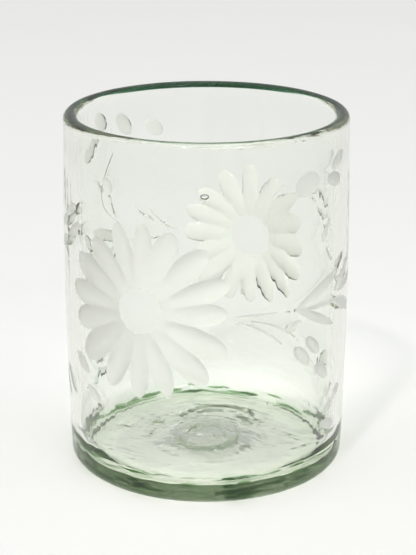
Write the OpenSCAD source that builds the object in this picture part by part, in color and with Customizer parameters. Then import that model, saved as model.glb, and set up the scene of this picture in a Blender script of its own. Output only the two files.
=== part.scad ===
// Straight-sided drinking tumbler of thick hand-blown glass, wheel-cut with daisies and sprays.
// The tumbler is one gather of glass, given here zone by zone, each zone face to face with the next.
// Every wheel-cut motif is a shallow recess in the wall, floored with its own ground, satin layer.
// Millimetres, +Z up. The origin is the centre of the foot, on the surface the tumbler stands on.
// Along the wall, s is the distance round the outside, to the right as seen from outside the glass.

/* [Tumbler] */
// Outside diameter of the wall
glass_d = 87.6; // [86:0.2:92]
// Height from the resting surface to the top of the rim
glass_h = 110.5; // [110:0.5:125]
// Thickness of the side wall
wall_t = 4.4; // [4:0.1:4.8]
// Thickness of the floor where it meets the rounded inner corner
floor_t = 4.4; // [4:0.1:6]

/* [Rim and foot] */
// Height of the fire-polished zone at the lip
rim_h = 5; // [4.6:0.2:5.4]
// Radius of the rounded lip, a hair fuller than half the wall
lip_r = 2.25; // [2.25:0.05:2.5]
// Radius of the rounded outer corner of the foot
foot_corner_r = 3.5; // [2.5:0.5:5]
// How far the rounded inner corner of the bowl reaches in from the wall
bowl_corner_w = 4.6; // [3:0.1:6]
// Height of that inner corner, which is taller than it is wide
bowl_corner_h = 8.6; // [7:0.1:8.6]
// Height of the zone that counts as the foot
foot_h = 13; // [8:0.5:15]
// Radius of the flat ring's inner edge, where the hollow under the foot begins
kick_r = 21; // [18:1:33]
// Rise of the hollow under the foot
kick_h = 3.2; // [2.5:0.1:4.4]
// Radius of the push-up in the middle of the floor
pushup_r = 18; // [15:1:22]
// Height of the push-up above the floor
pushup_h = 4.6; // [2:0.1:5]
// Radius of the pontil mark left under the foot
pontil_r = 10; // [8:0.5:12]

/* [Wheel cutting] */
// Depth of the cuts below the outside of the wall
cut_depth = 0.9; // [0.6:0.1:1.2]
// Thickness of the ground layer on the floor of each cut
ground_t = 0.35; // [0.2:0.05:0.4]
// Radius of the clear centre of each daisy
daisy_eye_r = 7.2; // [6:0.2:8]
// Height of the middle of the front daisy
front_daisy_z = 60.2; // [59:0.2:61]
// Height of the middle of the back daisy
back_daisy_z = 58.2; // [57:0.2:60]
// Direction of the front daisy, in degrees from -Y towards +X
front_turn = -26.2; // [-30:0.1:-20]
// Direction of the back daisy, in degrees from -Y towards +X
back_turn = 159; // [155:0.5:165]
// Width of the thin stems
stem_w = 0.8; // [0.6:0.1:1]

/* [Hidden] */
$fn = 96;
// Sides of the wide, shallow arc under the foot
kick_fn = 1440;

outer_r = glass_d / 2;
inner_r = outer_r - wall_t;
bowl_corner_z = floor_t + bowl_corner_h;
rim_z = glass_h - rim_h;
cut_r = outer_r - cut_depth;
ground_r = cut_r + ground_t;
deg_per_mm = 180 / (PI * outer_r);
kick_sphere_r = (kick_r * kick_r + kick_h * kick_h) / (2 * kick_h);
pushup_sphere_r = (pushup_r * pushup_r + pushup_h * pushup_h) / (2 * pushup_h);
pontil_t = 1.4;
pontil_scar_r = 4;
// Reach of a cutting block past the wall, outwards and inwards, and a small overlap inside a solid
cut_over = 3;
eps = 0.01;

// Petals of the two daisies: direction in degrees, reach from the centre, and width, as cut by hand
front_petals = [
    [1, 26, 6.5], [20, 28.5, 6.5], [44, 28, 7], [67, 26.5, 7],
    [87, 26.5, 5.5], [107, 26.5, 5.5], [132, 25.5, 7], [155, 28, 7.5],
    [177, 29, 7], [197, 28, 7], [220, 29, 8], [246, 27.5, 6.5],
    [269, 27, 5.5], [290, 26.5, 6], [314, 29, 7], [335, 28.5, 7.5]
];
back_petals = [
    [2, 24, 6.5], [22, 25, 6.5], [44, 25.5, 6.5], [67, 26, 6.5],
    [90, 26.5, 6], [113, 26, 6.5], [136, 25.5, 6.5], [158, 24, 6.5],
    [180, 24.5, 7], [203, 24.5, 7], [225, 24.5, 6], [248, 23, 5.5],
    [270, 22.5, 5], [291, 23.5, 5.5], [317, 25, 6.5], [338, 24.5, 6.5]
];
petal_root_x = 5;
petal_point_x = 34;
petal_tip_r = 4.6;

// The other cuts. Each row gives s from the daisy's middle, the height, the slope in degrees, the
// length and the width
spray = [
    [58.2, 63.2, 21.5, 23, 3.8], [60.8, 57.9, -4, 25, 1.6], [57, 54.6, -27, 21, 3],
    [73, 64.6, 31, 17, 4], [76.5, 60.8, 6, 18, 3], [73.5, 54.4, -24, 17, 4.2],
    [64.8, 24, 36, 7.5, 3.6], [69.4, 27.2, 30, 6.5, 3.6], [64.5, 18, -18, 10, 3.4]
];
berries = [
    [55.2, 46.4, -47, 8.4, 3.8], [50.7, 44.2, -47, 8.8, 3.9], [59.8, 37.1, -44, 8.2, 3.8], [48.2, 54.6, 15, 4, 2.4]
];
leaves = [
    [-24.5, 38.3, -33, 9, 4.4], [-18.5, 29.8, -32, 8.6, 3.4], [-31.5, 84.2, 32, 10, 3.2],
    [-28.5, 78.8, 34, 11, 3.2], [-39, 79, 30, 12, 3.4], [-40, 72.4, 24, 13, 3.6], [-41, 27, -35, 12, 4.4]
];
front_garland = [
    [52, 96, 20, 9.5, 7], [67.6, 100.2, 25, 8.6, 4.2], [65.4, 95, -15, 8.6, 4.4],
    [60.7, 80.4, 58, 7.6, 2.6], [-11, 95.8, -60, 5.5, 3.6]
];
back_garland = [
    [34.5, 96, 40, 7.8, 5], [46.5, 98.3, 50, 9, 5], [58, 101, 40, 8, 5],
    [68, 94.5, -20, 8, 5.4], [61.5, 81.4, 45, 8, 3]
];
// Stems: where one starts and ends, and how far its arc swells to the left of that line
front_stems = [
    [[28, 59.5], [46.6, 59], 0.3], [[27.6, 58.2], [44.3, 48.1], 1.5], [[32, 58], [49.6, 48.9], 1.6],
    [[39.5, 93.3], [44, 97.3], 0.4], [[60.9, 75.6], [64.7, 69.6], -0.4]
];
back_stems = [
    [[26.5, 60], [38.5, 69], -0.6], [[35, 63.5], [44, 70.5], -0.5], [[28, 57.2], [46.8, 59.2], 0.3],
    [[27.8, 54], [43.5, 48.6], 1.6], [[51.2, 66.8], [53, 92], -5]
];

// A lens of two arcs, for a leaf
module lens(length, width) {
    arc_r = (length * length + width * width) / (4 * width);
    intersection() {
        translate([0, arc_r - width / 2]) circle(arc_r);
        translate([0, width / 2 - arc_r]) circle(arc_r);
    }
}

// A lens with its points rounded off, for a berry
module oval(length, width) {
    intersection() {
        lens(length * 1.3, width);
        circle(length / 2);
    }
}

// A petal along +X: a lens that starts inside the clear eye, trimmed there and rounded at its tip
module petal(reach, width) {
    tip_x = reach - petal_tip_r;
    intersection() {
        translate([(petal_root_x + petal_point_x) / 2, 0]) lens(petal_point_x - petal_root_x, width);
        union() {
            translate([daisy_eye_r, -width]) square([tip_x - daisy_eye_r, 2 * width]);
            translate([tip_x, 0]) circle(petal_tip_r);
        }
    }
}

// A thin arc from the origin to [length, 0], swelling by rise to its left
module stem_arc(length, rise) {
    arc_r = (length * length / 4 + rise * rise) / (2 * abs(rise));
    half_angle = asin(length / (2 * arc_r));
    side = sign(rise);
    far = side * 2 * arc_r;
    translate([length / 2, side * (abs(rise) - arc_r)]) intersection() {
        difference() {
            circle(arc_r + stem_w / 2);
            circle(arc_r - stem_w / 2);
        }
        polygon([[0, 0], far * [-sin(half_angle), cos(half_angle)], far * [sin(half_angle), cos(half_angle)]]);
    }
}

// A block through the wall with the outline of its children, square to the wall at s and z
module on_wall(turn, s, z) {
    rotate([0, 0, turn + s * deg_per_mm])
        translate([0, cut_over - cut_r, z])
            rotate([90, 0, 0])
                linear_extrude(cut_depth + 2 * cut_over)
                    children();
}

module petal_blocks(turn, middle_z, petals) {
    for (p = petals) {
        middle = (p[1] + daisy_eye_r) / 2;
        on_wall(turn, middle * cos(p[0]), middle_z + middle * sin(p[0]))
            rotate(p[0])
                translate([-middle, 0])
                    petal(p[1], p[2]);
    }
}

module leaf_blocks(turn, rows) {
    for (row = rows)
        on_wall(turn, row[0], row[1]) rotate(row[2]) lens(row[3], row[4]);
}

module oval_blocks(turn, rows) {
    for (row = rows)
        on_wall(turn, row[0], row[1]) rotate(row[2]) oval(row[3], row[4]);
}

module stem_blocks(turn, stems) {
    for (row = stems) {
        start = row[0];
        run = row[1] - row[0];
        on_wall(turn, start[0] + run[0] / 2, start[1] + run[1] / 2)
            rotate(atan2(run[1], run[0]))
                translate([-norm(run) / 2, 0])
                    stem_arc(norm(run), row[2]);
    }
}

// The ground layer of a motif: its outline on the floor of the cut
module ground() {
    color([0.93, 0.95, 0.92])
        intersection() {
            tube(cut_r, ground_r, foot_h, rim_z);
            union() children();
        }
}

module tube(bore_r, body_r, low_z, high_z) {
    translate([0, 0, low_z]) difference() {
        cylinder(r = body_r, h = high_z - low_z);
        translate([0, 0, -1]) cylinder(r = bore_r, h = high_z - low_z + 2);
    }
}

module motif_blocks(turn, middle_z, petals, garland, stems) {
    petal_blocks(turn, middle_z, petals);
    leaf_blocks(turn, spray);
    stem_blocks(turn, stems);
    oval_blocks(turn, berries);
    oval_blocks(turn, garland);
    leaf_blocks(turn, leaves);
}

// Half a section of the whole glass below the rim: a block, less the bowl and the hollow beneath
module glass_outline() {
    difference() {
        union() {
            square([outer_r - foot_corner_r, rim_z]);
            translate([0, foot_corner_r]) square([outer_r, rim_z - foot_corner_r]);
            translate([outer_r - foot_corner_r, foot_corner_r]) circle(foot_corner_r);
        }
        bowl_outline();
        translate([0, kick_h - kick_sphere_r]) circle(kick_sphere_r, $fn = kick_fn);
    }
}

module bowl_outline() {
    difference() {
        union() {
            translate([0, floor_t]) square([inner_r - bowl_corner_w, glass_h]);
            translate([0, bowl_corner_z]) square([inner_r, glass_h]);
            translate([inner_r - bowl_corner_w, bowl_corner_z])
                scale([1, bowl_corner_h / bowl_corner_w]) circle(bowl_corner_w);
        }
        translate([0, floor_t + pushup_h - pushup_sphere_r]) circle(pushup_sphere_r, $fn = kick_fn);
    }
}

// The part of the section between two heights, turned into a ring
module zone(low_z, high_z) {
    rotate_extrude() intersection() {
        glass_outline();
        translate([0, low_z]) square([outer_r, high_z - low_z]);
    }
}

module side_wall() {
    color([0.76, 0.86, 0.76, 0.45])
        difference() {
            zone(foot_h, rim_z);
            difference() {
                union() {
                    motif_blocks(front_turn, front_daisy_z, front_petals, front_garland, front_stems);
                    motif_blocks(back_turn, back_daisy_z, back_petals, back_garland, back_stems);
                }
                translate([0, 0, foot_h]) cylinder(r = cut_r, h = rim_z - foot_h);
            }
        }
}

module foot() {
    color([0.58, 0.75, 0.62, 0.6]) zone(0, foot_h);
}

module rim() {
    lip_x = outer_r - lip_r;
    lip_z = glass_h - lip_r;
    color([0.52, 0.68, 0.55, 0.6])
        rotate_extrude() union() {
            translate([inner_r, rim_z]) square([wall_t, lip_z - rim_z]);
            translate([lip_x, lip_z]) circle(lip_r);
        }
}

// The scar where the pontil rod was broken off: a low disc with a chipped hollow in its middle
module pontil_mark() {
    color([0.62, 0.76, 0.65, 0.8])
        rotate_extrude() difference() {
            intersection() {
                translate([0, kick_h - pontil_t]) square([pontil_r, 2 * pontil_t]);
                translate([0, kick_h - kick_sphere_r]) circle(kick_sphere_r, $fn = kick_fn);
            }
            translate([0, kick_h - pontil_t - eps]) square([pontil_scar_r, pontil_t / 2]);
        }
}

rim();
side_wall();
foot();
pontil_mark();
ground() petal_blocks(front_turn, front_daisy_z, front_petals);  // front_daisy
ground() leaf_blocks(front_turn, spray);  // front_spray
ground() stem_blocks(front_turn, front_stems);
ground() oval_blocks(front_turn, berries);  // front_berries
ground() oval_blocks(front_turn, front_garland);
ground() leaf_blocks(front_turn, leaves);  // front_leaves
ground() petal_blocks(back_turn, back_daisy_z, back_petals);  // back_daisy
ground() leaf_blocks(back_turn, spray);  // back_spray
ground() stem_blocks(back_turn, back_stems);
ground() oval_blocks(back_turn, berries);  // back_berries
ground() oval_blocks(back_turn, back_garland);
ground() leaf_blocks(back_turn, leaves);  // back_leaves
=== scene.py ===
# A hand-blown, wheel-cut tumbler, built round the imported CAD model.
# Lengths in this script are millimetres until they become vertices, which are metres.
# Along the wall, s is the distance round the outside from -Y towards +X, as in the CAD source.
import math

import bpy
import numpy as np
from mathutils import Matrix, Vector
from mathutils.geometry import delaunay_2d_cdt


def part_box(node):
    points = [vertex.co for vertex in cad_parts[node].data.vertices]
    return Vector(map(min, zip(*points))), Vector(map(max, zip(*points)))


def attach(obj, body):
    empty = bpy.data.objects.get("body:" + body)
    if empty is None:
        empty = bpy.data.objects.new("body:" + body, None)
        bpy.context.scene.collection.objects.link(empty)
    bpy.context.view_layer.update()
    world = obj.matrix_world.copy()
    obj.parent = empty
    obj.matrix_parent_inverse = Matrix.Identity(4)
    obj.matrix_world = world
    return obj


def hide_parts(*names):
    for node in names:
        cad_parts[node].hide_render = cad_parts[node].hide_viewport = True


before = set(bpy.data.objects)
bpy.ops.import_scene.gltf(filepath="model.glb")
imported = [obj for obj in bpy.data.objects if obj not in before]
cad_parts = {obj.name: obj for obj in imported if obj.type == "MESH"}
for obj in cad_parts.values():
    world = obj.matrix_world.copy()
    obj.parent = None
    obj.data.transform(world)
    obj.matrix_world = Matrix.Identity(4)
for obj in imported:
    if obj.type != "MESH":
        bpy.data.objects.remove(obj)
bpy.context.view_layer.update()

MM = 0.001
rng = np.random.default_rng(11)


# ---------------------------------------------------------------- sizes, from the frame
def node_radii(name):
    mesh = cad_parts[name].data
    xyz = np.empty(len(mesh.vertices) * 3)
    mesh.vertices.foreach_get("co", xyz)
    xyz = xyz.reshape(-1, 3)
    radii = np.hypot(xyz[:, 0], xyz[:, 1])
    return radii.min() / MM, radii.max() / MM


wall_low, wall_high = (v / MM for v in (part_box("side_wall")[0][2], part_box("side_wall")[1][2]))
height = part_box("rim")[1][2] / MM
inner_r, outer_r = node_radii("side_wall")
pontil_r = node_radii("pontil_mark")[1]
kick_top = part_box("pontil_mark")[1][2] / MM
around = 2 * math.pi * outer_r

# Shape of the blown glass that the CAD's plain solids leave out
RIM_R = (outer_r - 0.11) / 1.019    # the wall is widest a little above half height
FLOOR_Z = 4.4          # floor at the inner edge of the rounded corner
BOWL_CORNER_W = 4.6
BOWL_CORNER_H = 8.6
BOWL_CORNER_Z = FLOOR_Z + BOWL_CORNER_H
FOOT_CORNER_R = 3.5
KICK_R = 21.0
LIP_R = (outer_r - inner_r) / 2
LIP_H = 1.9            # the lip is a little flattened, most of all at the back
PUSHUP_H = 4.6
INNER_WAVE = 0.07       # unevenness of the inside of the wall
PUSHUP_R = 18.0
SKIN = 0.14            # thickness of a ground layer
GAP = 0.02             # air between a ground layer and the clear glass
SINK = 0.012           # how far the glass lies below a cut's outline
LIFT = 0.004           # how far a ground layer stands above the cut
COLUMNS = 216
SEAM = 93.5            # direction, in degrees, of a line up the wall that no cut crosses


def to_xyz(r, s, z):
    a = s / outer_r
    return np.stack([r * np.sin(a), -r * np.cos(a), z], -1) * MM


def profile(z):
    """Outside radius of the barrelled wall."""
    k = z / height
    return RIM_R * (0.995 + 0.005 * k + 0.0856 * k * (1 - k))


def ripple(s, z, seed, size):
    """Soft upright waves of blown glass, the same after one turn round the wall."""
    local = np.random.default_rng(seed)
    a = s / outer_r
    total = np.zeros(np.broadcast(a, z).shape)
    for turns in (3, 5, 8, 13, 21, 34):
        phase, lean, swell = local.uniform(0, 6.28, 3)
        total = total + np.sin(turns * a + phase + 0.9 * np.sin(z / 31 + lean)) \
            * np.sin(z / (60 - turns) + swell) / turns ** 0.65
    return size * total


def outside_r(s, z):
    return profile(z) + ripple(s, z, 3, 0.018)


# ---------------------------------------------------------------- the wheel cuts
FRONT, BACK = -26.2, 159.0      # directions of the two daisies, in degrees
FRONT_Z, BACK_Z = 60.2, 58.2    # heights of their middles
EYE_R = 6.9

# Petals: direction in degrees, reach and width. The other rows: s from the daisy's middle,
# height, slope in degrees, length and width. These are the rows of the CAD source.
FRONT_PETALS = [
    (1, 26, 6.5), (20, 28.5, 6.5), (44, 28, 7), (67, 26.5, 7),
    (87, 26.5, 5.5), (107, 26.5, 5.5), (132, 25.5, 7), (155, 28, 7.5),
    (177, 29, 7), (197, 28, 7), (220, 29, 8), (246, 27.5, 6.5),
    (269, 27, 5.5), (290, 26.5, 6), (314, 29, 7), (335, 28.5, 7.5)]
BACK_PETALS = [
    (2, 24, 6.5), (22, 25, 6.5), (44, 25.5, 6.5), (67, 26, 6.5),
    (90, 26.5, 6), (113, 26, 6.5), (136, 25.5, 6.5), (158, 24, 6.5),
    (180, 24.5, 7), (203, 24.5, 7), (225, 24.5, 6), (248, 23, 5.5),
    (270, 22.5, 5), (291, 23.5, 5.5), (317, 25, 6.5), (338, 24.5, 6.5)]
SPRAY = [
    (58.2, 63.2, 21.5, 23, 3.8), (60.8, 57.9, -4, 25, 1.6), (57, 54.6, -27, 21, 3),
    (73, 64.6, 31, 17, 4), (76.5, 60.8, 6, 18, 3), (73.5, 54.4, -24, 17, 4.2),
    (64.8, 24, 36, 7.5, 3.6), (69.4, 27.2, 30, 6.5, 3.6), (64.5, 18, -18, 10, 3.4)]
BERRIES = [
    (55.2, 46.4, -47, 8.4, 3.8), (50.7, 44.2, -47, 8.8, 3.9), (59.8, 37.1, -44, 8.2, 3.8),
    (48.2, 54.6, 15, 4, 2.4)]
LEAVES = [
    (-24.5, 38.3, -33, 9, 4.4), (-18.5, 29.8, -32, 8.6, 3.4), (-31.5, 84.2, 32, 10, 3.2),
    (-28.5, 78.8, 34, 11, 3.2), (-39, 79, 30, 12, 3.4), (-40, 72.4, 24, 13, 3.6),
    (-41, 27, -35, 12, 4.4)]
FRONT_GARLAND = [
    (52, 96, 20, 9.5, 7), (67.6, 100.2, 25, 8.6, 4.2), (65.4, 95, -15, 8.6, 4.4),
    (60.7, 80.4, 58, 7.6, 2.6), (-11, 95.8, -60, 5.5, 3.6)]
BACK_GARLAND = [
    (34.5, 96, 40, 7.8, 5), (46.5, 98.3, 50, 9, 5), (58, 101, 40, 8, 5),
    (68, 94.5, -20, 8, 5.4), (61.5, 81.4, 45, 8, 3)]
# Stems: start, end, and how far the arc swells to the left of that line
FRONT_STEMS = [
    ((28, 59.5), (46.6, 59), 0.3), ((27.6, 58.2), (44.3, 48.1), 1.5), ((32, 58), (49.6, 48.9), 1.6),
    ((39.5, 93.3), (44, 97.3), 0.4), ((60.9, 75.6), (64.7, 69.6), -0.4)]
BACK_STEMS = [
    ((26.5, 60), (38.5, 69), -0.6), ((35, 63.5), (44, 70.5), -0.5), ((28, 57.2), (46.8, 59.2), 0.3),
    ((27.8, 54), (43.5, 48.6), 1.6), ((51.2, 66.8), (53, 92), -5)]
STEM_W = 0.9
# However wide a cut is, it goes no deeper than its node's limit here, or the common one
DEEPEST_OF_ALL = 0.6
DEEPEST = {"front_daisy": 1.2, "front_berries": 0.9, "back_daisy": 0.65, "back_garland": 0.3}


def rounded(t, start, end):
    """1 in the middle, falling to 0 as a quarter ellipse over the first and last stretches."""
    low = np.clip((start - t) / start, 0, 1)
    high = np.clip((t - 1 + end) / end, 0, 1)
    return np.sqrt(np.clip(1 - low ** 2, 0, 1)) * np.sqrt(np.clip(1 - high ** 2, 0, 1))


def petal_shape(t):
    """Wide early on, so that neighbours run into each other well beyond the eye."""
    rise = np.sin(math.pi / 2 * np.clip(t / 0.5, 0, 1))
    return (0.62 + 0.46 * rise) * rounded(t, 0.05, 0.36)


def leaf_shape(t):
    return np.clip(4 * t * (1 - t), 0, 1) ** 0.9


def oval_shape(t):
    return rounded(t, 0.5, 0.5)


def stem_shape(t):
    return rounded(t, 0.12, 0.12) * (1.15 - 0.5 * t)


class Cut:
    """One stroke of the cutting wheel: an axis, a half width along it and a hollow section."""

    def __init__(self, node, start, end, width, shape, tool_r, bow=0.0, run_out=0.0):
        self.node, self.shape, self.bow, self.run_out = node, shape, bow, run_out
        self.tool_r = max(tool_r, width * width / 4 / (2 * DEEPEST.get(node, DEEPEST_OF_ALL)))
        self.start = np.array(start, float)
        run = np.array(end, float) - self.start
        self.length = float(np.hypot(*run))
        self.along = run / self.length
        self.side = np.array([-self.along[1], self.along[0]])
        self.half = width / 2

    def local(self, points):
        """Position along the axis from 0 to 1, and the distance to its left in millimetres."""
        away = points - self.start
        t = away @ self.along / self.length
        return t, away @ self.side - self.bow * 4 * t * (1 - t)

    def half_width(self, t):
        inside = (t > 0) & (t < 1)
        return np.where(inside, self.half * self.shape(np.clip(t, 0, 1)), 0.0)

    def depth(self, points):
        t, v = self.local(points)
        w = self.half_width(t)
        share = np.clip(t * self.length / self.run_out, 0, 1) if self.run_out else 1.0
        if self.shape is stem_shape:
            share = share * np.clip((1 - t) * self.length / self.run_out, 0, 1)
        return np.where(w > 0, share * (w * w - v * v) / (2 * self.tool_r), -1.0)

    def margin(self, points):
        """How far inside the outline a point lies, in millimetres; negative outside."""
        t, v = self.local(points)
        ends = np.minimum(t, 1 - t) * self.length
        return np.where(ends > 0, np.minimum(self.half_width(t) - np.abs(v), ends + 0.3), ends)

    def at(self, t, v):
        bowed = v + self.bow * 4 * t * (1 - t)
        return self.start + np.outer(t * self.length, self.along) + np.outer(bowed, self.side)

    def outline(self, step):
        count = max(5, int(self.length / step))
        t = (1 - np.cos(np.linspace(0, math.pi, count + 1))) / 2
        w = self.half_width(t)
        return np.concatenate([self.at(t, w), self.at(t, -w)[-2:0:-1]])


def ends_of(row, turn):
    s, z, slope, length, _ = row
    a = math.radians(slope)
    half = np.array([math.cos(a), math.sin(a)]) * length / 2
    middle = np.array([s + math.radians(turn) * outer_r, z])
    return middle - half, middle + half


def cuts_of_side(side, turn, middle_z, petals, garland, stems):
    offset = math.radians(turn) * outer_r
    cuts = []
    for direction, reach, width in petals:
        a = math.radians(direction)
        way = np.array([math.cos(a), math.sin(a)])
        middle = np.array([offset, middle_z])
        cuts.append(Cut(side + "_daisy", middle + way * EYE_R, middle + way * reach, width,
                        petal_shape, 6.6 if side == "front" else 9.0, run_out=4.0))
    groups = (("spray", SPRAY, leaf_shape, 5.0), ("berries", BERRIES, oval_shape, 2.8),
              ("garland", garland, oval_shape, 5.2), ("leaves", LEAVES, leaf_shape, 4.6))
    for name, rows, shape, tool_r in groups:
        for row in rows:
            start, end = ends_of(row, turn)
            # The widest oval was only just touched to the wheel
            cuts.append(Cut(side + "_" + name, start, end, row[4], shape, tool_r if row[4] < 6 else 28.0))
    for start, end, bow in stems:
        cuts.append(Cut(side + "_stems", (start[0] + offset, start[1]), (end[0] + offset, end[1]),
                        STEM_W, stem_shape, 0.45 if side == "front" else 0.75, bow, run_out=2.5))
    return cuts


CUTS = cuts_of_side("front", FRONT, FRONT_Z, FRONT_PETALS, FRONT_GARLAND, FRONT_STEMS) \
    + cuts_of_side("back", BACK, BACK_Z, BACK_PETALS, BACK_GARLAND, BACK_STEMS)
GROUND_NODES = sorted({cut.node for cut in CUTS})


def deepest(points):
    """The depth at each point and which cut made it. Points are (s, z) rows on the unrolled wall."""
    depth = np.zeros(len(points))
    owner = np.full(len(points), -1)
    for index, cut in enumerate(CUTS):
        for shift in (-around, 0.0, around):
            d = cut.depth(points - (shift, 0))
            better = d > depth
            depth[better] = d[better]
            owner[better] = index
    return depth, owner


def nearest_margin(points, skip=None):
    best = np.full(len(points), -99.0)
    for cut in CUTS:
        if cut is skip:
            continue
        for shift in (-around, 0.0, around):
            best = np.maximum(best, cut.margin(points - (shift, 0)))
    return best


# ---------------------------------------------------------------- the outside of the wall
def in_domain(points, seam_s):
    """The same points, moved by whole turns so that s starts at the seam."""
    moved = points.copy()
    moved[:, 0] = (moved[:, 0] - seam_s) % around + seam_s
    return moved


def unrolled_wall():
    """A triangulation of the unrolled wall whose edges follow every cut's outline and ridge."""
    seam_s = math.radians(SEAM) * outer_r
    columns = seam_s + np.arange(COLUMNS + 1) * around / COLUMNS
    rows = np.linspace(wall_low, wall_high, 72)
    grid = np.array([(s, z) for z in rows for s in columns])
    edge = (grid[:, 1] == rows[0]) | (grid[:, 1] == rows[-1]) \
        | (np.arange(len(grid)) % (COLUMNS + 1) == 0) | (np.arange(len(grid)) % (COLUMNS + 1) == COLUMNS)
    keep = edge | (nearest_margin(grid) < -0.45)
    points = [grid[keep]]
    edges = []
    total = int(keep.sum())

    def add_line(line, closed):
        nonlocal total
        line = in_domain(line, seam_s)
        points.append(line)
        last = len(line) if closed else len(line) - 1
        edges.extend((total + i, total + (i + 1) % len(line)) for i in range(last))
        total += len(line)

    for cut in CUTS:
        outline = cut.outline(0.5)
        buried = nearest_margin(outline, cut) > 0.35
        if not buried.any():
            add_line(outline, True)
            continue
        # Start at a buried point, so that each stretch left in the open is one run
        start = int(np.argmax(buried))
        outline, buried = np.roll(outline, -start, 0), np.roll(buried, -start)
        run = []
        for point, hidden in zip(outline, buried):
            if not hidden:
                run.append(point)
            elif len(run) > 1:
                add_line(np.array(run), False)
                run = []
            else:
                run = []
        if len(run) > 1:
            add_line(np.array(run), False)

    for side in ("front_daisy", "back_daisy"):
        petals = [cut for cut in CUTS if cut.node == side]
        for one, two in zip(petals, petals[1:] + petals[:1]):
            ridge = ridge_between(one, two)
            if len(ridge) > 1:
                add_line(ridge, False)

    step = 0.56
    low, high = grid.min(0), grid.max(0)
    zs = np.arange(low[1], high[1], step * 0.866)
    fine = np.concatenate([
        np.stack([np.arange(low[0] + (row % 2) * step / 2, high[0], step),
                  np.full(len(np.arange(low[0] + (row % 2) * step / 2, high[0], step)), z)], -1)
        for row, z in enumerate(zs)])
    fine = fine[nearest_margin(fine) > 0.2]
    points.append(fine)
    coords = np.concatenate(points)
    result = delaunay_2d_cdt([Vector(p) for p in coords], edges, [], 0, 1e-5, False)
    verts = np.array([tuple(v) for v in result[0]])
    faces = np.array(result[2])
    a, b, c = (verts[faces[:, k]] for k in range(3))
    area = (b[:, 0] - a[:, 0]) * (c[:, 1] - a[:, 1]) - (b[:, 1] - a[:, 1]) * (c[:, 0] - a[:, 0])
    faces[area < 0] = faces[area < 0][:, ::-1]
    faces = faces[np.abs(area) > 1e-9]
    return verts, faces, columns, rows


def ridge_between(one, two):
    """Where two neighbouring petals are equally deep, from the eye outwards."""
    centre = one.start - one.along * EYE_R
    first = math.atan2(one.along[1], one.along[0])
    second = math.atan2(two.along[1], two.along[0])
    second += 2 * math.pi if second < first else 0
    line = []
    for reach in np.arange(EYE_R + 0.3, 24, 0.5):
        low, high = first, second
        for _ in range(24):
            middle = (low + high) / 2
            point = centre + reach * np.array([math.cos(middle), math.sin(middle)])
            if one.depth(point[None])[0] > two.depth(point[None])[0]:
                low = middle
            else:
                high = middle
        if one.depth(point[None])[0] < 0.004:
            break
        line.append(point)
    return np.array(line)


# ---------------------------------------------------------------- mesh helpers
def new_piece(name, verts, faces, material, smooth_angle=None):
    mesh = bpy.data.meshes.new(name)
    mesh.from_pydata([tuple(v) for v in verts], [], [tuple(int(i) for i in f) for f in faces])
    mesh.validate()
    mesh.polygons.foreach_set("use_smooth", [True] * len(mesh.polygons))
    if smooth_angle:
        mesh.set_sharp_from_angle(angle=math.radians(smooth_angle))
    mesh.materials.append(material)
    piece = bpy.data.objects.new(name, mesh)
    bpy.context.collection.objects.link(piece)
    return piece


def stitch(ring_a, ring_b):
    """Quads between two rings of vertex numbers, wound so that they face out of the glass."""
    count = len(ring_a)
    return [(ring_a[i], ring_a[(i + 1) % count], ring_b[(i + 1) % count], ring_b[i]) for i in range(count)]


def arc(cx, cz, r, start, end, count):
    a = np.radians(np.linspace(start, end, count))
    return np.stack([cx + r * np.cos(a), cz + r * np.sin(a)], -1)


def thread(line, radius, sides=6):
    """A closed, drawn-out thread of air in the wall; its faces turn in towards the air."""
    line = np.array(line, float)
    steps = 40
    share = np.linspace(0, len(line) - 1, steps)
    s = np.interp(share, range(len(line)), line[:, 0])
    z = np.interp(share, range(len(line)), line[:, 1])
    s, z = (np.convolve(np.pad(v, 3, mode="edge"), np.ones(7) / 7, "valid") for v in (s, z))
    thick = radius * np.sin(math.pi * np.linspace(0.04, 0.96, steps)) ** 0.4
    turns = 2 * math.pi * np.arange(sides) / sides
    verts, faces = [], []
    for k in range(steps):
        for u in turns:
            verts.append(to_xyz(outer_r - 2.4 + thick[k] * math.sin(u), s[k] + thick[k] * math.cos(u), z[k]))
    for k in range(steps - 1):
        a, b = k * sides, (k + 1) * sides
        faces += [(a + (j + 1) % sides, a + j, b + j, b + (j + 1) % sides) for j in range(sides)]
    faces += [tuple(range(sides)), tuple(range((steps - 1) * sides, steps * sides))[::-1]]
    return verts, faces


def kick_z(r):
    """Height of the hollow under the foot."""
    return kick_top * (1 - np.clip(r / KICK_R, 0, 1) ** 2) ** 1.7


def pontil_relief(r, a):
    """How far the broken pontil scar stands below the hollow."""
    rough = sum(np.sin(k * a + 1.7 * k + 0.9 * r) * np.cos(0.8 * r * k ** 0.5 + k) / k
                for k in (2, 3, 5, 7, 11, 17))
    ring = np.exp(-((r - 0.66 * pontil_r) / (0.2 * pontil_r)) ** 2)
    edge = np.clip((pontil_r - r) / (0.12 * pontil_r), 0, 1)
    return edge * np.clip(0.28 + 0.62 * ring + 0.16 * rough * ring + 0.05 * rough, 0.02, 1.15)


def underside_z(r, a):
    inside = np.clip((pontil_r - r) / pontil_r, 0, 1) > 0
    relief = np.where(inside, pontil_relief(r, a), 0)
    chill = 0.05 * np.sin(r * 1.3 + 2 * np.sin(a)) * np.clip(r / 12, 0, 1) * np.clip((KICK_R - r) / 8, 0, 1)
    return kick_z(r) - relief + chill


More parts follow.
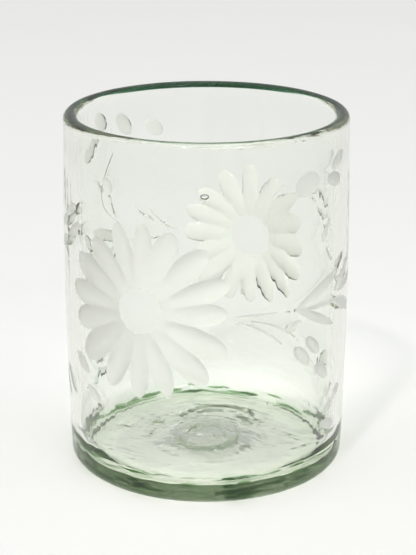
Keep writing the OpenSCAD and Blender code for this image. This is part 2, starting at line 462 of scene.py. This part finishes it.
def floor_z(r, a):
    """Height of the floor inside the bowl: push-up, tooling rings and the off-centre swirl."""
    flat_r = inner_r - BOWL_CORNER_W
    x, y = r * np.sin(a), -r * np.cos(a)
    fade = np.clip((flat_r - r) / 4, 0, 1)
    rings = 0.03 * np.sin(r * 0.95 + 0.8 * np.sin(a + 0.6)) + 0.015 * np.sin(r * 2.1 + 1.5 * np.sin(2 * a))
    # A ring left where the tool turned, open towards the viewer, and a comma curling in from it
    away = np.hypot(x - 4, y - 14)
    bearing = np.arctan2(y - 14, x - 4)
    opening = np.clip(0.62 + 0.6 * np.sin(bearing + 0.25), 0, 1)
    swirl = -0.62 * np.exp(-((away - 11.6) / 0.8) ** 2) * opening
    swirl = swirl + 0.28 * np.exp(-((away - 9.2) / 1.4) ** 2) * opening
    comma = -0.45 * np.exp(-((np.hypot((x - 8.5) / 1.9, y - 11.5) - 1.6) / 0.9) ** 2)
    lumps = 0.05 * np.sin(5 * a + r * 0.3) * np.sin(r * 0.5 + 2 * a) * np.clip(r / 8, 0, 1)
    lumps = lumps + 0.03 * np.sin(1.9 * x + 0.6 * y + 1.1 * np.sin(0.3 * y)) * np.sin(1.3 * y - 0.4 * x)
    streaks = 0.035 * np.sin(0.9 * x + 2.3 * y) * np.sin(0.37 * x - 0.5 * y) * np.clip(r / 6, 0, 1)
    return floor_profile(r) + fade * (rings + lumps + streaks + swirl + comma)


def ellipsoid(centre_s, centre_z, centre_r, half, segments=14, rings=9):
    """A closed blob; its faces turn in, which suits a seed of air in the glass."""
    verts, faces = [], []
    for i in range(rings + 1):
        up = math.pi * (i / rings - 0.5)
        for j in range(segments):
            turn = 2 * math.pi * j / segments
            ds = half[0] * math.cos(up) * math.cos(turn)
            dr = half[2] * math.cos(up) * math.sin(turn)
            dz = half[1] * math.sin(up)
            verts.append(to_xyz(centre_r + dr, centre_s + ds, centre_z + dz))
    bottom, top = 0, rings * segments
    for i in range(rings):
        for j in range(segments):
            a, b = i * segments + j, i * segments + (j + 1) % segments
            c, d = a + segments, b + segments
            if i == 0:
                faces.append((bottom, d, c))
            elif i == rings - 1:
                faces.append((a, b, top))
            else:
                faces.append((a, b, d, c))
    used = sorted({v for f in faces for v in f})
    index = {v: k for k, v in enumerate(used)}
    return [verts[v] for v in used], [tuple(index[v] for v in f) for f in faces]


# ---------------------------------------------------------------- materials
def new_material(name):
    material = bpy.data.materials.new(name)
    material.use_nodes = True
    tree = material.node_tree
    shader = next(n for n in tree.nodes if n.type == "BSDF_PRINCIPLED")
    return material, tree, shader


def add(tree, kind, **settings):
    node = tree.nodes.new(kind)
    for key, value in settings.items():
        if hasattr(node, key):
            setattr(node, key, value)
        else:
            node.inputs[key.replace("_", " ")].default_value = value
    return node


def bump(tree, shader, height_socket, strength, distance, previous=None):
    node = add(tree, "ShaderNodeBump", Strength=strength, Distance=distance)
    tree.links.new(height_socket, node.inputs["Height"])
    if previous:
        tree.links.new(previous.outputs["Normal"], node.inputs["Normal"])
    tree.links.new(node.outputs["Normal"], shader.inputs["Normal"])
    return node


def noise(tree, coords, scale, detail=3.0, roughness=0.5):
    node = add(tree, "ShaderNodeTexNoise", Scale=scale, Detail=detail, Roughness=roughness)
    tree.links.new(coords, node.inputs["Vector"])
    return node


def stretched(tree, source, scale):
    mapping = tree.nodes.new("ShaderNodeMapping")
    mapping.inputs["Scale"].default_value = scale
    tree.links.new(source, mapping.inputs["Vector"])
    return mapping.outputs["Vector"]


def let_light_through(tree, shader, tint):
    """Rays on their way to a lamp pass through, so the table under the glass and its shadow stay pale."""
    mix = tree.nodes.new("ShaderNodeMixShader")
    clear = tree.nodes.new("ShaderNodeBsdfTransparent")
    clear.inputs["Color"].default_value = tint
    path = tree.nodes.new("ShaderNodeLightPath")
    output = next(n for n in tree.nodes if n.type == "OUTPUT_MATERIAL")
    tree.links.new(path.outputs["Is Shadow Ray"], mix.inputs[0])
    tree.links.new(shader.outputs[0], mix.inputs[1])
    tree.links.new(clear.outputs[0], mix.inputs[2])
    tree.links.new(mix.outputs[0], output.inputs["Surface"])
    return output


def clear_glass():
    """Pale green blown glass: fine upright tooling lines, soft unevenness, colour by thickness."""
    material, tree, shader = new_material("blown_glass")
    shader.inputs["Base Color"].default_value = (0.985, 0.995, 0.985, 1)
    shader.inputs["Roughness"].default_value = 0.0
    shader.inputs["IOR"].default_value = 1.5
    shader.inputs["Transmission Weight"].default_value = 1.0
    coords = tree.nodes.new("ShaderNodeTexCoord").outputs["Object"]
    lines = noise(tree, stretched(tree, coords, (1, 1, 0.06)), 260, 2)
    first = bump(tree, shader, lines.outputs["Fac"], 0.04, 0.001)
    soft = noise(tree, coords, 70, 2)
    second = bump(tree, shader, soft.outputs["Fac"], 0.03, 0.002, first)
    # Tool marks and trapped unevenness in the thick base, fading out a little above the floor
    split = tree.nodes.new("ShaderNodeSeparateXYZ")
    tree.links.new(coords, split.inputs["Vector"])
    low = tree.nodes.new("ShaderNodeMapRange")
    low.inputs["From Min"].default_value, low.inputs["From Max"].default_value = 0.014, 0.008
    tree.links.new(split.outputs["Z"], low.inputs["Value"])
    marks = noise(tree, stretched(tree, coords, (1, 1, 2.2)), 62, 2, 0.5)
    masked = add(tree, "ShaderNodeMath", operation="MULTIPLY")
    tree.links.new(marks.outputs["Fac"], masked.inputs[0])
    tree.links.new(low.outputs["Result"], masked.inputs[1])
    bump(tree, shader, masked.outputs["Value"], 0.3, 0.003, second)
    absorb = add(tree, "ShaderNodeVolumeAbsorption", Color=(0.60, 0.63, 0.46, 1), Density=22.0)
    output = let_light_through(tree, shader, (0.932, 0.946, 0.957, 1))
    tree.links.new(absorb.outputs["Volume"], output.inputs["Volume"])
    return material


def core_green(name, colour, density, shade=(1, 1, 1, 1)):
    """Greener metal deep in the glass: colour alone, and shade tints the lamps' light that passes it. In the
    lip the core is partly painted shade.
    """
    material, tree, shader = new_material(name)
    clear = tree.nodes.new("ShaderNodeBsdfTransparent")
    absorb = add(tree, "ShaderNodeVolumeAbsorption", Color=colour, Density=density)
    output = let_light_through(tree, clear, shade)
    tree.links.new(absorb.outputs["Volume"], output.inputs["Volume"])
    tree.nodes.remove(shader)
    return material


def ground_glass(name, roughness):
    """Satin left by the cutting wheel: fine streaks along the cut and a sandy grain."""
    material, tree, shader = new_material(name)
    shader.inputs["Base Color"].default_value = (0.99, 0.995, 0.965, 1)
    shader.inputs["Roughness"].default_value = roughness
    # A low index lets the thin layer blur what lies behind it without darkening it
    shader.inputs["IOR"].default_value = 1.38
    shader.inputs["Transmission Weight"].default_value = 0.8
    uv = tree.nodes.new("ShaderNodeUVMap").outputs["UV"]
    streaks = noise(tree, stretched(tree, uv, (0.5, 9, 1)), 1.0, 4)
    coords = tree.nodes.new("ShaderNodeTexCoord").outputs["Object"]
    grain = noise(tree, coords, 2600, 2)
    first = bump(tree, shader, streaks.outputs["Fac"], 0.45, 0.0004)
    bump(tree, shader, grain.outputs["Fac"], 0.3, 0.0002, first)
    let_light_through(tree, shader, (0.93, 0.935, 0.93, 1))
    return material


def floor_material():
    material, tree, shader = new_material("pale_table")
    coords = tree.nodes.new("ShaderNodeTexCoord").outputs["Object"]
    cloud = noise(tree, coords, 6, 4)
    ramp = tree.nodes.new("ShaderNodeValToRGB")
    ramp.color_ramp.elements[0].color = (0.90, 0.897, 0.885, 1)
    ramp.color_ramp.elements[1].color = (0.93, 0.927, 0.915, 1)
    tree.links.new(cloud.outputs["Fac"], ramp.inputs["Fac"])
    tree.links.new(ramp.outputs["Color"], shader.inputs["Base Color"])
    shader.inputs["Roughness"].default_value = 0.75
    shader.inputs["Specular IOR Level"].default_value = 0.15
    return material


# ---------------------------------------------------------------- the glass
def build_glass(glass, ground, pontil):
    flat, faces, columns, rows = unrolled_wall()
    depth, _ = deepest(flat)
    outline = depth < 1e-4
    # Points on an outline belong to no cut, so the ground layer and the glass meet there
    skin = np.where(outline, 0.0, np.minimum(SKIN, depth * 1.5))
    surface = outside_r(flat[:, 0], flat[:, 1])
    shell_out = surface - depth
    glass_r = shell_out - skin - np.where(outline & touches_cut(flat), SINK, 0.0)

    # Fold the seam: the last column is the first one
    # The triangulation works in single precision, so ends and rows are matched within a micrometre
    near = 1e-3
    at_start = np.flatnonzero(np.abs(flat[:, 0] - columns[0]) < near)
    at_end = np.flatnonzero(np.abs(flat[:, 0] - columns[-1]) < near)
    at_start, at_end = (side[np.argsort(flat[side, 1])] for side in (at_start, at_end))
    if len(at_start) != len(rows) or len(at_end) != len(rows):
        raise RuntimeError("the two sides of the seam don't match")
    index = np.arange(len(flat))
    index[at_end] = at_start

    def row_ring(z):
        ring = np.flatnonzero(np.abs(flat[:, 1] - z) < near)
        ring = [int(i) for i in ring[np.argsort(flat[ring, 0])] if index[i] == i]
        if len(ring) != COLUMNS:
            raise RuntimeError(f"the wall has {len(ring)} columns at {z}")
        return ring

    verts = list(to_xyz(glass_r, flat[:, 0], flat[:, 1]))
    all_faces = [tuple(index[list(f)]) for f in faces]
    ring_s = columns[:-1]
    ring_a = ring_s / outer_r

    def add_ring(radius, z):
        first = len(verts)
        verts.extend(to_xyz(np.broadcast_to(radius, ring_s.shape), ring_s, np.broadcast_to(z, ring_s.shape)))
        return list(range(first, first + COLUMNS))

    def add_pole(z):
        verts.append(np.array([0, 0, z * MM]))
        return len(verts) - 1

    # Over the lip and down the inside to the middle of the floor
    previous = row_ring(rows[-1])
    top_r = outside_r(ring_s, wall_high)
    lip_x = top_r - LIP_R
    wave = ripple(ring_s, 0 * ring_s + 40, 9, 0.05)
    lip_h = LIP_H + 0.85 * np.clip(-np.cos(ring_a), 0, 1) ** 2
    lip_z = height - LIP_H - 0.12 + wave
    for a in np.linspace(0, 180, 17):
        c, s = math.cos(math.radians(a)), math.sin(math.radians(a))
        ring = add_ring(lip_x + LIP_R * c, lip_z + (lip_h - LIP_H) + (2 * LIP_H - lip_h) * s)
        all_faces += stitch(previous, ring)
        previous = ring
    for z in np.linspace(height - 4, BOWL_CORNER_Z, 54):
        blend = np.clip((height - 3 - z) / 16, 0, 1)
        blend = blend * blend * (3 - 2 * blend)
        r_in = inner_r + ripple(ring_s, z, 5, INNER_WAVE) * blend
        lip_in = lip_x - LIP_R
        ring = add_ring(lip_in + (r_in - lip_in) * blend, z + 0 * ring_s)
        all_faces += stitch(previous, ring)
        previous = ring
    flat_r = inner_r - BOWL_CORNER_W
    low_wave = ripple(ring_s, BOWL_CORNER_Z, 5, INNER_WAVE)
    for across, up in arc(0, 0, 1, 0, -90, 28)[1:-1]:
        ring = add_ring(flat_r + across * BOWL_CORNER_W + low_wave * across ** 2,
                        BOWL_CORNER_Z + up * BOWL_CORNER_H + 0 * ring_s)
        all_faces += stitch(previous, ring)
        previous = ring
    for r in np.linspace(flat_r, 0, 74)[:-1]:
        ring = add_ring(r, floor_z(r, ring_a))
        all_faces += stitch(previous, ring)
        previous = ring
    pole = add_pole(float(np.mean(floor_z(0.0, ring_a))))
    all_faces += [(previous[i], previous[(i + 1) % COLUMNS], pole) for i in range(COLUMNS)]

    # Down the outside of the foot and in to the middle of the hollow
    previous = row_ring(rows[0])
    low_r = outside_r(ring_s, wall_low)

    def down_to(ring):
        nonlocal previous, all_faces
        all_faces += stitch(ring, previous)
        previous = ring

    for z in np.linspace(wall_low, FOOT_CORNER_R, 10)[1:]:
        down_to(add_ring(low_r + profile(z) - profile(wall_low), z + 0 * ring_s))
    corner_x = low_r + profile(FOOT_CORNER_R) - profile(wall_low) - FOOT_CORNER_R
    for a in np.linspace(0, 90, 10)[1:]:
        c, s = math.cos(math.radians(a)), math.sin(math.radians(a))
        down_to(add_ring(corner_x + FOOT_CORNER_R * c, FOOT_CORNER_R * (1 - s) + 0 * ring_s))
    for r in np.linspace(corner_x.mean() - 1, KICK_R, 6):
        down_to(add_ring(r, 0 * ring_s))
    for r in np.linspace(KICK_R, pontil_r, 20)[1:]:
        down_to(add_ring(r, underside_z(r, ring_a)))
    scar_r = np.linspace(pontil_r, 0, 22)[:-1]
    for r in scar_r[1:]:
        down_to(add_ring(r, underside_z(r, ring_a) + SKIN))
    pole = add_pole(float(np.mean(underside_z(0.0, ring_a))) + SKIN)
    all_faces += [(previous[(i + 1) % COLUMNS], previous[i], pole) for i in range(COLUMNS)]

    # Seeds of air: one large one in the front wall, and fine ones through the gather
    seeds = [(-0.5, 95.2, outer_r - 2.0, (1.35, 0.85, 0.75))]
    for _ in range(12):
        size = rng.uniform(0.12, 0.3)
        seeds.append((rng.uniform(0, around), rng.uniform(20, height - 6), outer_r - rng.uniform(1.7, 3.4),
                      (size, size * rng.uniform(0.8, 1.9), size)))
    hollows = [ellipsoid(*seed) for seed in seeds]
    hollows.append(thread([(-29.3, 106.0), (-32.5, 99.6), (-34.8, 93.0), (-33.5, 88.0), (-26.1, 84.6)], 0.16))
    for more_verts, more_faces in hollows:
        all_faces += [tuple(v + len(verts) for v in f) for f in more_faces]
        verts += more_verts

    used = np.unique(np.concatenate([np.array(f) for f in all_faces]))
    renumber = {int(v): k for k, v in enumerate(used)}
    body = new_piece("glass_body", [verts[v] for v in used],
                     [tuple(renumber[int(v)] for v in f) for f in all_faces], glass, 22)
    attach(body, "root")
    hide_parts("rim", "side_wall", "foot")

    # Ground layers, one piece per motif
    middle = flat[faces].mean(1)
    _, face_owner = deepest(middle)
    shell_in = shell_out - np.maximum(skin - GAP, 0.0)
    for node in GROUND_NODES:
        # A face with all its corners on an outline has no thickness
        keep = [o >= 0 and CUTS[o].node == node for o in face_owner] & ~outline[faces].all(1)
        chosen, owners = faces[keep], face_owner[keep]
        used = np.unique(chosen)
        number = {int(v): k for k, v in enumerate(used)}
        on_edge = outline[used]
        inner_number = {}
        verts_out = list(to_xyz(shell_out[used] + LIFT, flat[used, 0], flat[used, 1]))
        for v, edge in zip(used, on_edge):
            if edge:
                inner_number[int(v)] = number[int(v)]
            else:
                inner_number[int(v)] = len(verts_out)
                verts_out.append(to_xyz(shell_in[v], flat[v, 0], flat[v, 1]))
        outer_faces = [tuple(number[int(v)] for v in f) for f in chosen]
        inner_faces = [tuple(inner_number[int(v)] for v in f[::-1]) for f in chosen]
        # Where a layer stops short of its outline, a narrow side closes it
        open_edges = {(int(f[k]), int(f[(k + 1) % 3])) for f in chosen for k in range(3)}
        sides = []
        for a, b in sorted(open_edges):
            if (b, a) in open_edges:
                continue
            ring = [number[b], number[a], inner_number[a], inner_number[b]]
            ring = [v for k, v in enumerate(ring) if v != ring[k - 1]]
            if len(ring) > 2:
                sides.append(tuple(ring))
        piece = new_piece(node + "_ground", verts_out, outer_faces + inner_faces + sides, ground, 25)
        layer = piece.data.uv_layers.new(name="UVMap")
        ordered = [(f, o) for f, o in zip(chosen, owners)] + [(f[::-1], o) for f, o in zip(chosen, owners)]
        uvs = []
        for f, o in ordered:
            cut = CUTS[o]
            near = flat[f].copy()
            near[:, 0] -= np.round((near[0, 0] - cut.start[0]) / around) * around
            t, v = cut.local(near)
            uvs.extend(np.stack([t * cut.length + 7.3 * o, v], -1))
        uvs.extend([(0.0, 0.0)] * sum(len(side) for side in sides))
        if len(uvs) == len(layer.data):
            layer.data.foreach_set("uv", np.array(uvs).ravel())
        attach(piece, "root")
        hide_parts(node)

    # The pontil scar's own broken skin
    scar, scar_faces = [], []
    rings = []
    for lift in (0.0, SKIN - GAP):
        layer = []
        for r in scar_r:
            z = underside_z(r, ring_a) + (lift if r < pontil_r - 1e-6 else 0.0)
            layer.append(list(range(len(scar), len(scar) + COLUMNS)))
            scar.extend(to_xyz(np.full(COLUMNS, r), ring_s, z))
        rings.append(layer)
        scar.append(np.array([0, 0, (float(np.mean(underside_z(0.0, ring_a))) + lift) * MM]))
        rings[-1].append(len(scar) - 1)
    rings[1][0] = rings[0][0]
    for layer, flip in ((rings[0], False), (rings[1], True)):
        for a, b in zip(layer[:-2], layer[1:-1]):
            quads = stitch(b, a)
            scar_faces += [q[::-1] for q in quads] if flip else quads
        inner, tip = layer[-2], layer[-1]
        fan = [(inner[(i + 1) % COLUMNS], inner[i], tip) for i in range(COLUMNS)]
        scar_faces += [f[::-1] for f in fan] if flip else fan
    used = sorted({v for f in scar_faces for v in f})
    number = {v: k for k, v in enumerate(used)}
    scar_piece = new_piece("pontil_scar", [scar[v] for v in used],
                           [tuple(number[v] for v in f) for f in scar_faces], pontil, 40)
    scar_piece.data.uv_layers.new(name="UVMap")
    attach(scar_piece, "root")
    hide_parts("pontil_mark")


def revolve(name, section, count, material):
    """A closed ring round the axis, from a section of (r, z) points that runs anticlockwise."""
    turns = 2 * math.pi * np.arange(count) / count
    verts = [np.array([r * math.sin(t), -r * math.cos(t), z]) * MM for t in turns for r, z in section(t)]
    size = len(section(0.0))
    faces = []
    for i in range(count):
        a, b = i * size, (i + 1) % count * size
        faces += [(a + j, b + j, b + (j + 1) % size, a + (j + 1) % size) for j in range(size)]
    piece = new_piece(name, verts, faces, material)
    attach(piece, "root")
    return piece


def floor_profile(r):
    return FLOOR_Z + PUSHUP_H * np.clip(1 - (r / PUSHUP_R) ** 2, 0, 1) ** 1.15


def build_foot_heart(ring_material, sheet_material):
    """Deeper colour inside the foot: a thick ring, which the eye looks along, and a sheet under the floor.
    Both dim the lamps' light that passes them, painting shadow on the table under the foot, darkest under the
    floor.
    """
    flat_r = inner_r - BOWL_CORNER_W
    edge = [(29.0, 2.0), (30.5, 0.4), (39.0, 0.4), (40.4, 1.2), (41.2, 2.6), (41.5, 4.5), (41.6, 6.5)]
    corner = [(flat_r + (BOWL_CORNER_W + 0.5) * math.cos(a),
               BOWL_CORNER_Z + (BOWL_CORNER_H + 0.5) * math.sin(a))
              for a in np.radians(np.linspace(-48, -90, 10))]
    ring = edge + corner + [(30.5, FLOOR_Z - 0.7)]
    revolve("foot_heart", lambda t: ring, 96, ring_material)
    reach = np.array([0.5, 4, 8, 12, 16, 20, 24, 27, 28.6])
    under = [(r, float(kick_z(r)) + 0.5) for r in reach]
    over = [(r, min(float(kick_z(r)) + 3.0, float(floor_profile(r)) - 0.9)) for r in reach[::-1]]
    revolve("floor_heart", lambda t: under + over, 96, sheet_material)


def build_foot_cords(material):
    """Streaks of greener metal, drawn out round the edge of the foot."""
    verts, faces = [], []
    for _ in range(64):
        half = (rng.uniform(2, 9), rng.uniform(0.4, 0.9), rng.uniform(0.2, 0.5))
        place = (rng.uniform(0, around), rng.uniform(1.6, 6.0), rng.uniform(38.6, 40.6))
        more_verts, more_faces = ellipsoid(*place, half)
        faces += [tuple(v + len(verts) for v in f[::-1]) for f in more_faces]
        verts += more_verts
    cords = new_piece("foot_cords", verts, faces, material)
    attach(cords, "root")


def build_rim_shade_core(material):
    """Greener glass inside the lip, fuller at the back, where the lip is flattest: partly the lip's own
    green, and partly painted shade that darkens the line along the back of the rim.
    """
    bearings = np.linspace(0, 2 * math.pi, 16, endpoint=False)

    def section(t):
        tube = 0.18 + 0.6 * (0.5 - 0.5 * math.cos(t)) ** 1.2
        middle_r = float(outside_r(t * outer_r, wall_high)) - LIP_R
        return [(middle_r + 1.6 * tube * math.cos(u), height - 0.5 - tube * (1 - math.sin(u)))
                for u in bearings]

    revolve("rim_shade_core", section, 192, material)


def touches_cut(points):
    return nearest_margin(points) > -0.02


build_glass(clear_glass(), ground_glass("ground_satin", 0.45), ground_glass("pontil_scar", 0.3))
# The shade tints below are painted shadow: they dim the lamps' light on the table under the foot and under
# the floor
build_foot_heart(core_green("foot_green_and_painted_shadow", (0.46, 0.70, 0.38, 1), 24.0, (0.78, 0.765, 0.77, 1)),
                 core_green("floor_green_and_painted_shadow", (0.42, 0.62, 0.48, 1), 14.0, (0.62, 0.62, 0.61, 1)))
build_foot_cords(core_green("cord_green", (0.26, 0.54, 0.16, 1), 2600.0))
# The lip's dark green core deepens the green along the lip and paints shade along the back of the rim
build_rim_shade_core(core_green("rim_green_and_painted_shade", (0.14, 0.46, 0.27, 1), 2500.0))


# ---------------------------------------------------------------- stage, light and camera
def build_stage():
    size = 6.0
    mesh = bpy.data.meshes.new("table")
    corners = [(-size, -size, 0), (size, -size, 0), (size, size, 0), (-size, size, 0)]
    mesh.from_pydata(corners, [], [(0, 1, 2, 3)])
    mesh.materials.append(floor_material())
    table = bpy.data.objects.new("table", mesh)
    bpy.context.collection.objects.link(table)
    table.location.z = -0.0002

    world = bpy.data.worlds.new("studio")
    bpy.context.scene.world = world
    world.use_nodes = True
    tree = world.node_tree
    background = tree.nodes["Background"]
    coords = tree.nodes.new("ShaderNodeTexCoord").outputs["Generated"]
    split = tree.nodes.new("ShaderNodeSeparateXYZ")
    tree.links.new(coords, split.inputs["Vector"])
    ramp = tree.nodes.new("ShaderNodeValToRGB")
    elements = ramp.color_ramp.elements
    elements[0].position, elements[0].color = 0.0, (0.62, 0.645, 0.63, 1)
    elements[1].position, elements[1].color = 0.6, (0.97, 0.985, 1.0, 1)
    tree.links.new(split.outputs["Z"], ramp.inputs["Fac"])
    tree.links.new(ramp.outputs["Color"], background.inputs["Color"])
    background.inputs["Strength"].default_value = 0.67


def area_light(name, place, target, size, power, color=(1, 1, 1)):
    light = bpy.data.lights.new(name, "AREA")
    light.shape = "RECTANGLE"
    light.size, light.size_y = size
    light.energy = power
    light.color = color
    lamp = bpy.data.objects.new(name, light)
    lamp.location = place
    lamp.rotation_euler = (Vector(target) - Vector(place)).to_track_quat("-Z", "Y").to_euler()
    bpy.context.collection.objects.link(lamp)


def build_camera():
    # The eye is 4.414 heights in front of the glass and 2.016 heights above the table
    camera = bpy.data.cameras.new("camera")
    camera.lens = 107.7
    camera.sensor_width = 36
    camera.shift_x = 0.0029
    camera.clip_end = 50
    eye = bpy.data.objects.new("camera", camera)
    eye.location = (0, -4.4137 * height * MM, 2.0156 * height * MM)
    eye.rotation_euler = (math.radians(90 - 18.75), 0, 0)
    bpy.context.collection.objects.link(eye)
    bpy.context.scene.camera = eye


build_stage()
middle = (0, 0, height * MM / 2)
area_light("key", (-1.65, -3.9, 5.55), middle, (0.42, 0.42), 160, (1.0, 0.965, 0.905))
area_light("front", (0.43, -1.33, 1.2), middle, (1.4, 0.2), 9)
build_camera()
bpy.context.scene.view_settings.view_transform = "Standard"
# Light runs far inside the foot and the rim, with many reflections from within, before it comes out
bpy.context.scene.cycles.max_bounces = 32
bpy.context.scene.cycles.glossy_bounces = 24
bpy.context.scene.cycles.transmission_bounces = 32
bpy.context.scene.cycles.transparent_max_bounces = 48
